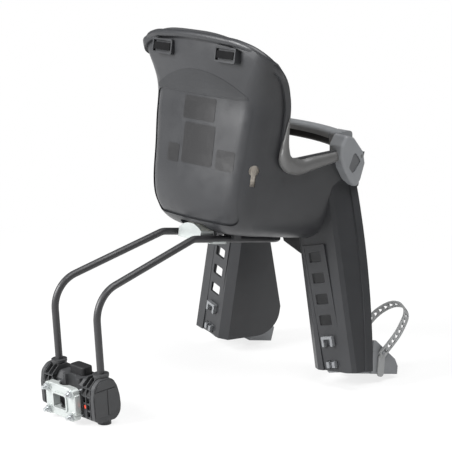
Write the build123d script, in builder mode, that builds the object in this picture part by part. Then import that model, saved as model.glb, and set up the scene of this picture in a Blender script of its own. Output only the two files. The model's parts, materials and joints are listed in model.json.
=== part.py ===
from build123d import *
import os
from math import atan2, cos, degrees, radians, sin, sqrt

os.makedirs("parts", exist_ok=True)

# Child bike seat, standing on its foot cups and on the two feet of its mounting block.
# Millimetres; +Z up, +Y the way the child faces, X = 0 the mirror plane, Z = 0 the floor.

# Stance
pitch = 8.4  # nose-down angle of the seat while it stands
leg_y = 143.43  # rear faces of the leg guards
gap = 0.3  # clearance between pieces that move past each other
press = 0.05  # clearance of pieces that seat in each other

# Seat shell, in the seat's own pitched frame
wall = 4.0
pan_low = 246.0  # underside of the seat pan
pan_front = 14.0  # front edge of the pan and of the side walls
back_reach = 230.0  # from the leg guards to the middle of the back
back_bow = 16.0  # how far the back curves forward at its corners
corner_radius = 45.0
corner_tighten = 36.0  # how much tighter the corners of the hood are
corner_least = 2.0
side_half = 112.0  # half width beside the pan
side_lean = 0.10  # widening with height
side_splay = 0.115  # widening towards the front
bowl_height = 62.0  # rounding between pan and walls
bowl_tuck = 45.0
bowl_tuck_side = 0.8
hood_start = 472.0  # height where the hood starts to flare
hood_height = 100.0
hood_flare = 21.0
hood_spread = 14.0
hood_bend = 1.08
hood_top = 578.0
lip_out = 5.0  # rolled rim
lip_wide = 10.0

# Outline of the rim in side view: distance from the leg guards and height
rim_hood = (-290.0, 606.0)
rim_wing_top = (-172.0, 510.0)
rim_wing = (-152.0, 470.0)
rim_arm_rear = (-146.0, 379.0)
rim_arm_front = (-30.0, 405.0)
rim_arm_end = (14.0, 403.0)
rim_round = 20.0
rim_wing_round = 90.0

# Crown of the hood in rear view: distance from the middle and height
hood_crown = ((0.0, 574.0), (58.0, 572.0), (102.0, 563.5), (138.0, 551.0), (159.0, 535.0), (185.0, 480.0))

# Leg guards
leg_low = 24.0
leg_top = 350.0
leg_depth = 115.0
inner_splay = 0.195
outer_splay = 0.2086
leg_inner_front = 91.0
leg_inner_mid = (101.5, 60.0)
leg_inner_rear = (113.0, 9.0)
leg_panel_inner = (130.0, 0.0)
leg_panel_outer = (203.0, 9.0)
leg_outer_rear = (209.0, 15.0)
leg_outer_front = 240.0
leg_part_x = 122.0  # between inner and outer wall at every height
leg_sole_tilt = 0.11
inner_edge_top = 55.6
inner_edge_bend = (240.0, 76.0)  # heights where the inner wall's front edge turns
inner_edge_low = 108.0
inner_edge_round = 40.0
outer_edge_low = 36.0
outer_edge_mid = 56.0
outer_edge_top = 56.0
leg_lip_wide = 12.0
leg_lip_out = 3.0

# Column of square holes in each leg guard
hole_line_x = 162.6
hole_splay = 13.1
hole_wide = 26.0
hole_tall = 18.0
hole_round = 2.0
hole_pitch = 36.0
hole_first = 57.0
hole_count = 5
notch_up = 17.0
notch_wide = 22.0
notch_tall = 14.0
channel_wide = 40.0
channel_deep = 2.5
channel_top = 217.0

# Strap collars and cut-outs of the back and pan
collar_x = 79.0
collar_up = 540.0
collar_wide = 50.0
collar_tall = 25.0
collar_out = 18.0
collar_wall = 3.0
slot_tall = 9.0
field_up = (264.0, 470.0)
field_half = (104.0, 122.0)
field_deep = 2.0
field_round = 22.0
keyhole_at = (117.0, -193.0, 360.0)
keyhole_turn = 60.0
keyhole_radius = 9.0
keyhole_slot = 9.0
keyhole_drop = 26.0
arch_half = 36.0
arch_up = 258.0
arch_deep = 50.0

# Carrier rod, bent from one length
rod_radius = 6.0
rod_x = 55.5  # half spacing of the two ends
rod_end = 26.0
rod_bend_up = 210.0
rod_rear = (39.8, -236.8)
rod_front = (38.0, -31.7)
rod_up = 235.2  # under the pan, in the seat's frame
rod_bend_low = 52.0
rod_bend_top = 28.0
rest_wide = 26.0
rest_long = 16.0
rest_at = (-150.0, -60.0)

# Wire clamp in the arch of the shell
dome_half = 28.0
dome_rear = -212.0
dome_front = -184.0
dome_up = 256.0
plate_half = 44.0
plate_rear = -200.0
plate_front = -164.0
plate_low = 227.5
screw_x = 20.0
screw_y = -172.0
screw_radius = 2.5
screw_head = 5.0
screw_head_tall = 3.5

# Mounting block, in a frame leaning with the rod ends
block_reach = 399.4
block_lean = 4.0
block_half = 69.5
block_side = ((-28, 16), (-20, 8), (12, 8), (19, 16), (21, 38), (14, 58), (8, 72), (-12, 72), (-28, 52))
block_round = 5.0
cheek_in = 38.0  # inner faces of the two cheeks
jaw_face = -20.0
collar_rod_radius = 12.0
collar_rod_top = 84.0
foot_radius = 11.0
tube_radius = 14.3
tube_back = -25.0
liner_thick = 2.0
liner_low = 12.0
liner_high = 52.0
liner_angle = 62.0
rib_cells_x = (44.0, 54.5, 64.0)  # sunk cells between the ribs of the cheeks
rib_cells_up = (22.0, 33.5, 45.0)
rib_cell_wide = 7.5
rib_cell_tall = 9.0
rib_floor = -11.0

# Clamp plate and its bolts
clamp_half = 39.0
clamp_low = 9.0
clamp_high = 63.0
clamp_rear = -43.0
clamp_front = -32.0
clamp_corner = 11.0
clamp_edge = 2.0
window_half = 16.0
window_low = 24.0
window_high = 47.0
window_rim = 3.0
bolt_x = 30.0
bolt_up = (17.0, 55.0)
bolt_radius = 3.0
bolt_head = 5.0
bolt_head_at = 9.0
bolt_head_tall = 5.0
bolt_tail = -55.0
nut_radius = 5.8
nut_tall = 5.0
lug_radius = 8.0

# Release button and latches
button_half = 19.0
button_rear = -8.0
button_front = 13.0
button_low = 62.0
button_high = 86.0
button_round = 6.0
button_travel = 6.0
button_floor = 54.0
latch_travel = 3.2
latch_half = 3.0
latch_low = 30.0
latch_high = 37.0
latch_in = 4.2
lug_out = 15.0
lug_high = 50.0
latch_bite = 2.9
prong_out = 16.5
prong_low = 44.0
spring_y = 7.4
spring_radius = 3.2
spring_wire = 0.6
spring_turns = 5
spring_low = 46.0
flag_half = 2.5
flag_x = 46.5
flag_tall = 5.5
flag_out = 0.8

# Foot cups, in a frame that rises outwards and dips forwards
foot_tilt = 6.3
foot_pitch = 11.5
foot_corner = (122.0, 122.0)  # inner front corner, the point it stands on
foot_wide = 68.0
foot_long = 109.6
foot_toe = 8.0  # how far the outer front corner lies ahead
foot_step = 55.0
foot_neck = (20.0, 64.0)
foot_thick = 4.0
foot_side = ((-55.0, 57.0), (-50.0, 57.0), (0.0, 26.0))
foot_toe_up = 14.0
heel_half = 18.0
heel_up = 72.0
heel_down = 2.0
hook_half = 11.5
hook_tall = 17.0
hook_wall = 4.5
hook_proud = 4.0
clip_half = 9.0
clip_wide = 6.0
clip_tall = 10.0
peg_at = (-35.4, 36.3)
peg_radius = 3.0
peg_long = 7.0

# Foot straps
strap_rise = 43.8
strap_origin = (96.0, 50.0)
foot_strap_wide = 13.0
foot_strap_thick = 2.5
foot_strap_in = ((115.0, -6.5), (109.6, 62.0))
foot_strap_crest = (153.0, 97.0)
foot_strap_out = ((191.5, 62.0), (188.6, -6.5))
foot_strap_slots = (18.0, 34.0, 50.0)
tab_up = 18.0
tab_long = 34.0
tab_wide = 12.0

# Safety bar and its brackets
bar_x = 113.0
bar_end_y = 50.0
bar_mid_y = 70.0
bar_z = 416.0
bar_deep = 26.0
bar_up = 14.0
bar_split = 0.5
bar_down = -13.0
bar_round = 7.0
bar_rib_pitch = 14.0
bar_rib_deep = 2.0
bar_rib_wide = 2.5
bracket_x = (136.0, 166.0)
bracket_side = (
    (14.0, 412.0),
    (26.0, 430.0),
    (44.0, 424.0),
    (66.0, 398.0),
    (70.0, 378.0),
    (60.0, 351.0),
    (49.0, 338.0),
    (33.0, 354.0),
    (20.0, 376.0),
    (14.0, 394.0),
)
bracket_round = 7.0
bracket_edge = 6.0
bar_button_side = ((43.0, 402.0), (58.0, 383.0), (40.0, 363.0), (30.0, 375.0))
bar_button_round = 5.0
bar_button_deep = 7.0
bar_button_thick = 4.0
bar_button_sunk = 1.5

# Pad and harness
pad_thick = 14.0
pad_half = 104.0
pad_wing = -150.0  # how far forward the pad's wings reach along the sides
pad_front = 4.0
pad_top = 518.0
webbing_wide = 25.0
webbing_thick = 2.5
strap_lean = 6.1  # slant of the shoulder straps on the back
strap_face = -199.1
strap_bend_up = 326.0
strap_flat = (-157.0, -126.0)
buckle_y = -125.0
buckle_wide = 50.0
buckle_long = 40.0
buckle_tall = 14.0
buckle_round = 4.0
buckle_button_wide = 24.0
buckle_button_long = 18.0
buckle_button_tall = 6.0
buckle_button_proud = 2.0
buckle_travel = 3.0
crotch_y = -80.0
crotch_slot = (30.0, 6.0)
crotch_bend = 5.0
anchor_long = 40.0
anchor_tall = 12.0
anchor_thick = 4.0


def turned(angle):
    return sin(radians(angle)), cos(radians(angle))


far = 400.0
tilt_sin, tilt_cos = turned(pitch)
seat_origin = (0, leg_y, 0)
seat_plane = Plane(origin=seat_origin, x_dir=(1, 0, 0), z_dir=(0, tilt_sin, tilt_cos))
side_plane = Plane(origin=seat_origin, x_dir=(0, tilt_cos, -tilt_sin), z_dir=(1, 0, 0))
rear_plane = Plane(origin=seat_origin, x_dir=(1, 0, 0), z_dir=(0, -tilt_cos, tilt_sin))

lean_sin, lean_cos = turned(block_lean)
block_origin = (0, leg_y - block_reach, 0)
block_plane = Plane(origin=block_origin, x_dir=(1, 0, 0), z_dir=(0, -lean_sin, lean_cos))
block_side_plane = Plane(origin=block_origin, x_dir=(0, lean_cos, lean_sin), z_dir=(1, 0, 0))
block_rear_plane = Plane(origin=block_origin, x_dir=(1, 0, 0), z_dir=(0, -lean_cos, -lean_sin))


def mirrored(part):
    """The same piece on the other side of the seat."""
    with BuildPart() as other:
        mirror(part, about=Plane.YZ)
    return other.part


def save(part, name):
    part.label = name
    export_step(part, "parts/" + name + ".step")


def save_pair(part, name):
    other = mirrored(part)
    save(part, name + "_right")
    save(other, name + "_left")


# Seat shell: bucket


def bucket_section(height, grow, front):
    """Seat outline at one height, grown (or shrunk) from the shell's outer face."""
    sink = max(0.0, 1 - (height - pan_low + grow) / bowl_height)
    tuck = bowl_tuck * (1 - sqrt(1 - min(sink, 1.0) ** 2))
    flare = (max(0.0, height - hood_start) / hood_height) ** hood_bend
    half = side_half + side_lean * (height - pan_low) + hood_spread * flare
    half += grow - bowl_tuck_side * tuck
    back = tuck - grow - back_reach - hood_flare * flare
    corner = back + back_bow
    front_half = half + side_splay * (front - corner)
    with BuildSketch(seat_plane.offset(height)) as section:
        with BuildLine():
            ThreePointArc((-half, corner), (0, back), (half, corner))
            Polyline((half, corner), (front_half, front), (-front_half, front), (-half, corner))
        make_face()
        corner_round = max(corner_least, corner_radius - corner_tighten * flare + grow)
        fillet(section.vertices().sort_by(Axis.Y)[:2], corner_round)
    return section.sketch


def bucket(grow, front):
    """Solid seat body whose faces lie a set distance off the shell's outer face."""
    low = pan_low - grow
    turns = (0.0, 0.14, 0.5, 1.0)
    levels = [low + bowl_height * t for t in turns]
    straight = hood_start - pan_low - bowl_height
    levels += [pan_low + bowl_height + straight * t for t in (0.4, 0.75, 1.0)]
    levels += [hood_start + (hood_top - hood_start) * t for t in (0.35, 0.68, 1.0)]
    with BuildPart() as body:
        loft([bucket_section(level, grow, front) for level in levels])
    return body.part


def rim_body(inset):
    """Space behind and below the rim, pulled back by an inset."""
    with BuildSketch(side_plane) as side:
        with BuildLine():
            Polyline(
                (-far, 0),
                (-far, rim_hood[1]),
                rim_hood,
                rim_wing_top,
                rim_wing,
                rim_arm_rear,
                rim_arm_front,
                rim_arm_end,
                (pan_front, 0),
                close=True,
            )
        make_face()
        fillet(side.vertices().sort_by_distance(rim_arm_rear)[0], rim_round)
        for corner in (rim_wing_top, rim_wing):
            fillet(side.vertices().sort_by_distance(corner)[0], rim_wing_round)
        if inset:
            offset(amount=-inset, kind=Kind.INTERSECTION, mode=Mode.REPLACE)
    right = [(x * (1 - inset / hood_crown[-1][0]), z - inset) for x, z in hood_crown]
    left = [(-x, z) for x, z in right[:0:-1]]
    shoulder = right[-1][1]
    with BuildSketch(rear_plane) as crown:
        with BuildLine():
            Spline(*left, *right)
            Polyline(right[-1], (far, shoulder), (far, -far), (-far, -far), (-far, shoulder), left[0])
        make_face()
    with BuildPart() as body:
        extrude(side.sketch, amount=far, both=True)
        extrude(crown.sketch, amount=far, both=True, mode=Mode.INTERSECT)
    return body.part


with BuildPart() as rim_lip:
    add(bucket(lip_out, pan_front))
    add(rim_body(0), mode=Mode.INTERSECT)
    add(rim_body(lip_wide), mode=Mode.SUBTRACT)

# Seat shell: leg guards


def leg_outline(z, grow):
    """Plan of the right leg guard at one height."""
    inner = -inner_splay * (z - leg_low)
    outer = -outer_splay * (z - leg_low)

    def at(point, shift):
        return point[0] + shift, leg_y + point[1]

    inner_front = at((leg_inner_front, leg_depth), inner)
    inner_rear = at(leg_inner_rear, inner)
    with BuildSketch(Plane.XY.offset(z)) as plan:
        with BuildLine():
            ThreePointArc(inner_front, at(leg_inner_mid, inner), inner_rear)
            Polyline(
                inner_rear,
                at(leg_panel_inner, inner),
                at(leg_panel_outer, outer),
                at(leg_outer_rear, outer),
                at((leg_outer_front, leg_depth), outer),
                inner_front,
            )
        make_face()
        if grow:
            offset(amount=grow, kind=Kind.INTERSECTION, mode=Mode.REPLACE)
    return plan.sketch


def leg_body(grow, low, top):
    with BuildPart() as body:
        loft([leg_outline(low, grow), leg_outline(top, grow)], ruled=True)
    return body.part


def outer_edge(shift):
    """Side view of the outer wall behind its front edge."""
    with BuildSketch(Plane.YZ.offset(leg_part_x)) as region:
        with BuildLine():
            ThreePointArc(
                (leg_y + outer_edge_low - shift, 0),
                (leg_y + outer_edge_mid - shift, (leg_low + leg_top) / 2),
                (leg_y + outer_edge_top - shift, leg_top),
            )
            Polyline(
                (leg_y + outer_edge_top - shift, leg_top),
                (leg_y - far / 4, leg_top),
                (leg_y - far / 4, 0),
                (leg_y + outer_edge_low - shift, 0),
            )
        make_face()
    return region.sketch


with BuildPart() as inner_wall:
    add(leg_body(0, 0, leg_top))
    with BuildSketch(Plane.YZ) as inner_side:
        with BuildLine():
            Polyline(
                (leg_y - far / 4, leg_top),
                (leg_y + inner_edge_top / 4, leg_top),
                (leg_y + inner_edge_top, inner_edge_bend[0]),
                (leg_y + inner_edge_low, inner_edge_bend[1]),
                (leg_y + inner_edge_low, leg_low),
                (leg_y - far / 4, leg_low),
                close=True,
            )
        make_face()
        inner_toe = (leg_y + inner_edge_low, leg_low)
        fillet(inner_side.vertices().sort_by_distance(inner_toe)[0], inner_edge_round)
    extrude(amount=leg_part_x, mode=Mode.INTERSECT)

with BuildPart() as outer_wall:
    add(leg_body(0, 0, leg_top))
    extrude(outer_edge(0), amount=far, mode=Mode.INTERSECT)

with BuildPart() as leg_lip:
    add(leg_body(leg_lip_out, 0, leg_top))
    extrude(outer_edge(0), amount=far, mode=Mode.INTERSECT)
    extrude(outer_edge(leg_lip_wide), amount=far, mode=Mode.SUBTRACT)

leg_channel = leg_body(-wall, -leg_low, leg_top + leg_low)

# The rear panel of the right leg guard: x across, y up along the column of holes
panel_yaw = degrees(atan2(leg_panel_outer[1] - leg_panel_inner[1], leg_panel_outer[0] - leg_panel_inner[0]))
yaw_sin, yaw_cos = turned(panel_yaw)
splay_sin, splay_cos = turned(hole_splay)
hole_y = leg_y + (hole_line_x - leg_panel_inner[0]) * yaw_sin / yaw_cos
panel_plane = Plane(
    origin=(hole_line_x, hole_y, leg_low),
    x_dir=(splay_cos * yaw_cos, splay_cos * yaw_sin, splay_sin),
    z_dir=(yaw_sin, -yaw_cos, 0),
)
channel_floor = channel_deep + wall

with BuildPart() as leg_cuts:
    with BuildSketch(panel_plane.offset(2 * wall)):
        with Locations((0, (channel_top - 2 * leg_low) / 2)):
            Rectangle(channel_wide, channel_top + 2 * leg_low)
    extrude(amount=-2 * wall - channel_deep)
    with BuildSketch(panel_plane):
        for step in range(hole_count):
            with Locations((0, hole_first + step * hole_pitch)):
                RectangleRounded(hole_wide, hole_tall, hole_round)
        with Locations((0, notch_up)):
            RectangleRounded(notch_wide, notch_tall, hole_round)
    extrude(amount=-channel_deep - 2 * wall)

with BuildPart() as channel_back:
    with BuildSketch(panel_plane.offset(-wall / 2)):
        with Locations((0, channel_top / 2)):
            Rectangle(channel_wide + 2 * wall, channel_top + 2 * wall)
    extrude(amount=wall / 2 - channel_floor)
    with BuildSketch(Plane.XY.offset(leg_low)):
        Rectangle(2 * far, 2 * far)
    extrude(amount=far, mode=Mode.INTERSECT)

with BuildPart() as back_field:
    with BuildSketch(rear_plane.offset(back_reach / 2)) as field:
        with BuildLine():
            Polyline(
                (-field_half[0], field_up[0]),
                (field_half[0], field_up[0]),
                (field_half[1], field_up[1]),
                (-field_half[1], field_up[1]),
                close=True,
            )
        make_face()
        fillet(field.vertices(), field_round)
    extrude(amount=back_reach)
    add(bucket(-field_deep, pan_front), mode=Mode.SUBTRACT)

turn_sin, turn_cos = turned(keyhole_turn)
keyhole_plane = Plane(
    origin=seat_plane.from_local_coords(keyhole_at),
    x_dir=(turn_cos, turn_sin * tilt_cos, -turn_sin * tilt_sin),
    z_dir=(turn_sin, -turn_cos * tilt_cos, turn_cos * tilt_sin),
)
with BuildPart() as keyhole:
    with BuildSketch(keyhole_plane):
        Circle(keyhole_radius)
        with Locations((0, -keyhole_drop / 2)):
            Rectangle(keyhole_slot, keyhole_drop)
    extrude(amount=corner_radius / 2, both=True)


def arch_outline():
    """Rear view of the cut-out over the wire clamp."""
    with BuildSketch(rear_plane.offset(back_reach + wall)) as outline:
        with Locations((0, arch_up - arch_half)):
            RectangleRounded(2 * arch_half, 2 * arch_half, arch_half / 3)
    return outline.sketch


# Carrier rod
rod_start = block_plane.from_local_coords((rod_x, 0, rod_end))
rod_points = [
    block_plane.from_local_coords((rod_x, 0, rod_bend_up)),
    seat_plane.from_local_coords((rod_rear[0], rod_rear[1], rod_up)),
    seat_plane.from_local_coords((rod_front[0], rod_front[1], rod_up)),
]
rod_middle = (rod_points[0] + rod_points[1]) * 0.5


def flipped(point):
    return Vector(-point.X, point.Y, point.Z)


with BuildPart() as carrier_wire:
    with BuildLine() as rod_path:
        FilletPolyline(rod_start, rod_points[0], rod_middle, radius=rod_bend_low)
        FilletPolyline(
            rod_middle,
            rod_points[1],
            rod_points[2],
            flipped(rod_points[2]),
            flipped(rod_points[1]),
            flipped(rod_middle),
            radius=rod_bend_top,
        )
        FilletPolyline(flipped(rod_middle), flipped(rod_points[0]), flipped(rod_start), radius=rod_bend_low)
    with BuildSketch(Plane(origin=rod_start, x_dir=(1, 0, 0), z_dir=block_plane.z_dir)):
        Circle(rod_radius)
    sweep(path=rod_path.line)
    # notches for the latches
    with BuildSketch(block_rear_plane):
        for side in (1, -1):
            with Locations((side * (rod_x - rod_radius + latch_bite / 2), (latch_low + latch_high) / 2)):
                Rectangle(latch_bite + 2 * gap, latch_high - latch_low + 2 * gap)
    extrude(amount=rod_radius, both=True, mode=Mode.SUBTRACT)
save(carrier_wire.part, "carrier_wire")

inner_space = bucket(-wall, leg_depth)

with BuildPart() as seat_shell:
    add(bucket(0, pan_front))
    add(rim_body(0), mode=Mode.INTERSECT)
    add(rim_lip.part)
    add(inner_wall.part)
    add(outer_wall.part)
    add(leg_lip.part)
    with BuildSketch(rear_plane.offset(back_reach + collar_out)):
        with Locations((collar_x, collar_up), (-collar_x, collar_up)):
            RectangleRounded(collar_wide, collar_tall, collar_wall)
    extrude(amount=-collar_out - back_bow)
    # rests that hold the carrier rod under the pan
    with BuildSketch(seat_plane.offset(rod_up)):
        with Locations(*[(side * rod_front[0], y) for side in (1, -1) for y in rest_at]):
            Rectangle(rest_wide, rest_long)
    extrude(amount=pan_low + wall / 2 - rod_up)
    mirror(about=Plane.YZ)
    # inside of the bucket and of the two leg guards
    add(inner_space, mode=Mode.SUBTRACT)
    add(leg_channel, mode=Mode.SUBTRACT)
    add(mirrored(leg_channel), mode=Mode.SUBTRACT)
    add(channel_back.part)
    add(mirrored(channel_back.part))
    for cut in (leg_cuts.part, keyhole.part):
        add(cut, mode=Mode.SUBTRACT)
        add(mirrored(cut), mode=Mode.SUBTRACT)
    add(back_field.part, mode=Mode.SUBTRACT)
    # strap collars: a pocket from behind and a slot through the wall
    with BuildSketch(rear_plane.offset(back_reach + collar_out)):
        with Locations((collar_x, collar_up), (-collar_x, collar_up)):
            Rectangle(collar_wide - 2 * collar_wall, collar_tall - 2 * collar_wall)
    extrude(amount=-anchor_thick - gap, mode=Mode.SUBTRACT)
    with BuildSketch(rear_plane.offset(back_reach + collar_out)):
        with Locations((collar_x, collar_up), (-collar_x, collar_up)):
            Rectangle(collar_wide - 2 * collar_wall, slot_tall)
    extrude(amount=-far / 4, mode=Mode.SUBTRACT)
    # slot for the crotch strap
    with BuildSketch(seat_plane.offset(pan_low - wall)):
        with Locations((0, crotch_y)):
            Rectangle(*crotch_slot)
    extrude(amount=3 * wall, mode=Mode.SUBTRACT)
    # arch over the wire clamp
    extrude(arch_outline(), amount=-arch_deep - wall, mode=Mode.SUBTRACT)
    # soles of the leg guards, rising outwards
    with BuildSketch(Plane.XZ.offset(-leg_y)):
        sole_rise = leg_low + leg_sole_tilt * (far - leg_inner_rear[0])
        with BuildLine():
            Polyline(
                (-far, sole_rise),
                (-leg_inner_rear[0], leg_low),
                (leg_inner_rear[0], leg_low),
                (far, sole_rise),
                (far, -far),
                (-far, -far),
                close=True,
            )
        make_face()
    extrude(amount=far, both=True, mode=Mode.SUBTRACT)
    add(carrier_wire.part, mode=Mode.SUBTRACT)
save(seat_shell.part, "seat_shell")

# Wire clamp: a plate under the rod with a dome that fills the arch
with BuildPart() as wire_clamp:
    with BuildSketch(seat_plane.offset(plate_low)):
        with Locations((0, (plate_rear + plate_front) / 2)):
            RectangleRounded(2 * plate_half, plate_front - plate_rear, rod_radius)
    extrude(amount=rod_up - rod_radius / 2 - plate_low)
    with BuildSketch(rear_plane.offset(-dome_front)):
        with BuildLine():
            Line((-dome_half, rod_up - rod_radius), (dome_half, rod_up - rod_radius))
            Line((dome_half, rod_up - rod_radius), (dome_half, pan_low))
            ThreePointArc((dome_half, pan_low), (0, dome_up), (-dome_half, pan_low))
            Line((-dome_half, pan_low), (-dome_half, rod_up - rod_radius))
        make_face()
    extrude(amount=dome_front - dome_rear)
    add(carrier_wire.part, mode=Mode.SUBTRACT)
    add(seat_shell.part, mode=Mode.SUBTRACT)
    with BuildSketch(seat_plane.offset(plate_low)):
        with Locations((screw_x, screw_y), (-screw_x, screw_y)):
            Circle(screw_radius)
    extrude(amount=far / 8, mode=Mode.SUBTRACT)
save(wire_clamp.part, "wire_clamp")

with BuildPart() as wire_clamp_screws:
    with BuildSketch(seat_plane.offset(plate_low)):
        with Locations((screw_x, screw_y), (-screw_x, screw_y)):
            Circle(screw_head)
            RegularPolygon(screw_radius, 6, mode=Mode.SUBTRACT)
    extrude(amount=-screw_head_tall)
    with BuildSketch(seat_plane.offset(plate_low - screw_head_tall / 2)):
        with Locations((screw_x, screw_y), (-screw_x, screw_y)):
            Circle(screw_radius)
    extrude(amount=pan_low - plate_low + screw_head_tall / 2)
    add(seat_shell.part, mode=Mode.SUBTRACT)
save(wire_clamp_screws.part, "wire_clamp_screws")

# Release button: a cap with two wedges that draw the latches inwards
wedge = latch_travel / button_travel


def wedge_x(height):
    """Outer face of a latch's lug at one height."""
    return lug_out - wedge * (height - latch_high)


with BuildPart() as release_button:
    with BuildSketch(block_plane.offset(button_low)):
        with Locations((0, (button_rear + button_front) / 2)):
            RectangleRounded(2 * button_half, button_front - button_rear, button_round)
    extrude(amount=button_high - button_low)
    fillet(release_button.faces().sort_by(Axis.Z)[-1].edges(), button_round / 2)
    with BuildSketch(block_rear_plane):
        for side in (1, -1):
            with BuildLine():
                Polyline(
                    (side * (wedge_x(prong_low) + gap), prong_low),
                    (side * prong_out, prong_low),
                    (side * prong_out, button_low),
                    (side * (wedge_x(button_low) + gap), button_low),
                    close=True,
                )
            make_face()
    extrude(amount=latch_half, both=True)
save(release_button.part, "release_button")

latch_tip = rod_x - rod_radius + latch_bite
with BuildPart() as latch_right:
    with BuildSketch(block_rear_plane):
        with BuildLine():
            Polyline(
                (latch_in, latch_low),
                (latch_tip, latch_low),
                (latch_tip, latch_high),
                (lug_out, latch_high),
                (wedge_x(lug_high), lug_high),
                (latch_in, lug_high),
                close=True,
            )
        make_face()
    extrude(amount=latch_half, both=True)
save_pair(latch_right.part, "latch")

with BuildPart() as lock_flag:
    with BuildSketch(block_rear_plane.offset(latch_half)):
        with Locations((flag_x, (latch_low + latch_high) / 2)):
            RectangleRounded(2 * flag_half, flag_tall, 1)
    extrude(amount=-block_side[0][0] + flag_out - latch_half)
save_pair(lock_flag.part, "lock_flag")

spring_foot = block_plane.from_local_coords((0, spring_y, spring_low))
spring_head = block_plane.from_local_coords((0, spring_y, button_low))
spring_tall = spring_head.Z - spring_foot.Z - 2 * spring_wire - 3 * gap
with BuildPart() as release_spring:
    with BuildLine(Plane(origin=spring_foot + Vector(0, 0, spring_wire + 2 * gap))) as coil:
        Helix(spring_tall / spring_turns, spring_tall, spring_radius)
    with BuildSketch(Plane(origin=coil.line @ 0, z_dir=coil.line % 0)):
        RegularPolygon(spring_wire, 6)
    sweep(path=coil.line, is_frenet=True)
save(release_spring.part, "release_spring")

# Bolts, nuts and clamp plate
bolt_spots = [(side * bolt_x, up) for side in (1, -1) for up in bolt_up]
with BuildPart() as clamp_bolts:
    with BuildSketch(block_rear_plane.offset(-bolt_head_at)):
        with Locations(*bolt_spots):
            Circle(bolt_radius)
    extrude(amount=bolt_head_at - bolt_tail)
    with BuildSketch(block_rear_plane.offset(-bolt_head_at)):
        with Locations(*bolt_spots):
            Circle(bolt_head)
    extrude(amount=-bolt_head_tall)
    with BuildSketch(block_rear_plane.offset(-bolt_head_at - bolt_head_tall)):
        with Locations(*bolt_spots):
            RegularPolygon(bolt_radius, 6)
    extrude(amount=bolt_head_tall / 2, mode=Mode.SUBTRACT)
save(clamp_bolts.part, "clamp_bolts")

with BuildPart() as clamp_nuts:
    with BuildSketch(block_rear_plane.offset(-clamp_rear + 1)):
        with Locations(*bolt_spots):
            RegularPolygon(nut_radius, 6)
            Circle(bolt_radius + press, mode=Mode.SUBTRACT)
    extrude(amount=nut_tall)
save(clamp_nuts.part, "clamp_nuts")

with BuildPart() as clamp_plate:
    with BuildSketch(block_rear_plane.offset(-clamp_front)) as outline:
        with Locations((0, (clamp_low + clamp_high) / 2)):
            Rectangle(2 * clamp_half, clamp_high - clamp_low)
        chamfer(outline.vertices(), clamp_corner)
    extrude(amount=clamp_front - clamp_rear)
    fillet(clamp_plate.faces().sort_by(Axis.Y)[0].edges(), clamp_edge)
    with BuildSketch(block_rear_plane.offset(-clamp_front)):
        with Locations((0, (window_low + window_high) / 2)):
            rim_across = 2 * (window_half + window_rim)
            rim_up = window_high - window_low + 2 * window_rim
            RectangleRounded(rim_across, rim_up, 2 * window_rim)
    extrude(amount=clamp_front - clamp_rear + clamp_edge)
    with BuildSketch(block_rear_plane.offset(-clamp_front)):
        with Locations(*bolt_spots):
            Circle(lug_radius)
    extrude(amount=clamp_front - clamp_rear + 1)
    with BuildSketch(block_plane):
        with Locations((0, tube_back)):
            Circle(tube_radius)
    extrude(amount=far / 4, mode=Mode.SUBTRACT)
    with BuildSketch(block_rear_plane):
        with Locations((0, (window_low + window_high) / 2)):
            RectangleRounded(2 * window_half, window_high - window_low, 2 * wall / 3)
        with Locations(*bolt_spots):
            Circle(bolt_radius + press)
    extrude(amount=far / 4, mode=Mode.SUBTRACT)
save(clamp_plate.part, "clamp_plate")

# Liner of the jaw
liner_sin, liner_cos = turned(liner_angle)


def jaw_sector(reach):
    """Plan of the part of the jaw that the liner lines."""
    with BuildSketch(block_plane) as sector:
        with BuildLine():
            Polyline(
                (0, tube_back),
                (reach * liner_sin, tube_back + reach * liner_cos),
                (reach * liner_sin, tube_back + 2 * reach),
                (-reach * liner_sin, tube_back + 2 * reach),
                (-reach * liner_sin, tube_back + reach * liner_cos),
                close=True,
            )
        make_face()
    return sector.sketch


liner_radius = tube_radius + liner_thick
with BuildPart() as clamp_liner:
    with BuildSketch(block_plane.offset(liner_low)):
        with Locations((0, tube_back)):
            Circle(liner_radius)
            Circle(tube_radius, mode=Mode.SUBTRACT)
    extrude(amount=liner_high - liner_low)
    extrude(jaw_sector(liner_radius), amount=far / 4, mode=Mode.INTERSECT)
save(clamp_liner.part, "clamp_liner")

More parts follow.
